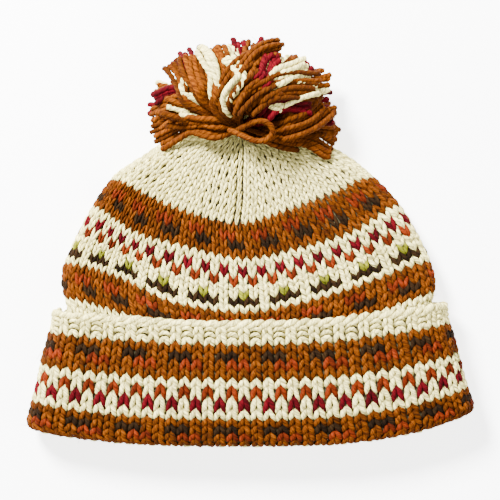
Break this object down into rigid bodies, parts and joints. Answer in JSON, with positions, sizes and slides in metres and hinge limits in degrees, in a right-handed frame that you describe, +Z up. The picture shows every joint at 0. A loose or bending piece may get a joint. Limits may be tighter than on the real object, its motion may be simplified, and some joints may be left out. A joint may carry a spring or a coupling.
{
  "type": "knitted bobble hat",
  "caption": "Hand-knitted stranded wool hat with a turned-up cuff and a floppy pompom, lying flat on its back.",
  "frame": {"origin": "on the surface that the hat lies on, under the middle of the cuff's back", "axes": "+Z up from the surface, +Y from the head opening to the crown's top, +X to the right of the front"},
  "size_m": [0.2478, 0.2282, 0.0488],
  "materials": {
    "knit_body": "cream, ochre, rust, crimson, dark brown and lime stranded wool knitting",
    "pompom": "loose ochre, cream and crimson wool strands",
    "pompom_tie": "rust wool yarn"
  },
  "bodies": {
    "root": {"knit_body": "knit_body", "pompom": "pompom", "pompom_tie": "pompom_tie"}
  },
  "joints": []
}
